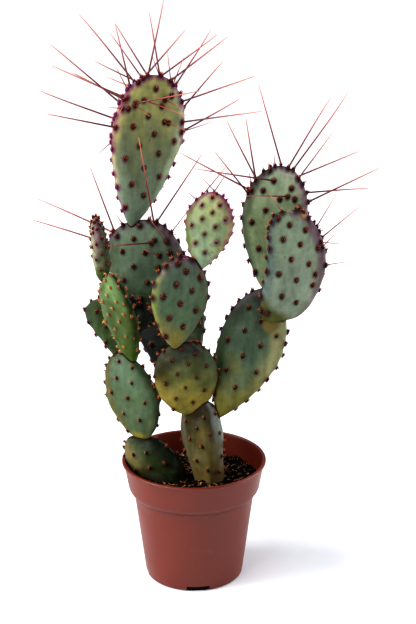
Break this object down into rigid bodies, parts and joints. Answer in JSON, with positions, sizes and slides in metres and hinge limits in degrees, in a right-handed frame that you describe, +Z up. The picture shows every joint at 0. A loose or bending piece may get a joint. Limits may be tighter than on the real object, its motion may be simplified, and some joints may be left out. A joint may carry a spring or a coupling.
{
  "type": "potted paddle cactus",
  "caption": "Branching paddle cactus with flat oval pads and long dark spines, growing in soil in a round tapered nursery pot.",
  "frame": {"origin": "centre of the pot's underside, on the surface that the pot stands on", "axes": "+Z up along the pot's axis and the plant's growth, -Y toward the side that faces the camera in the picture, +X to that picture's right"},
  "size_m": [0.2844, 0.1272, 0.4835],
  "materials": {
    "pot": "satin",
    "soil": "rough",
    "pad_dark_green": "waxy",
    "pad_blue_green": "waxy",
    "pad_yellow_green": "waxy",
    "pad_olive": "waxy"
  },
  "bodies": {
    "root": {"pot": "pot", "soil": "soil", "pad_left_half_buried": "pad_dark_green", "pad_left_lower": "pad_blue_green", "pad_left_rear": "pad_dark_green", "pad_left_front": "pad_yellow_green", "pad_left_top": "pad_dark_green", "stem_main": "pad_olive", "pad_front_lower": "pad_olive", "pad_front_middle": "pad_blue_green", "pad_front_top": "pad_yellow_green", "pad_right_lower": "pad_blue_green", "pad_right_rear": "pad_blue_green", "pad_right_front": "pad_blue_green", "pad_rear_lower": "pad_dark_green", "pad_rear_middle": "pad_dark_green", "pad_top": "pad_yellow_green"}
  },
  "joints": []
}
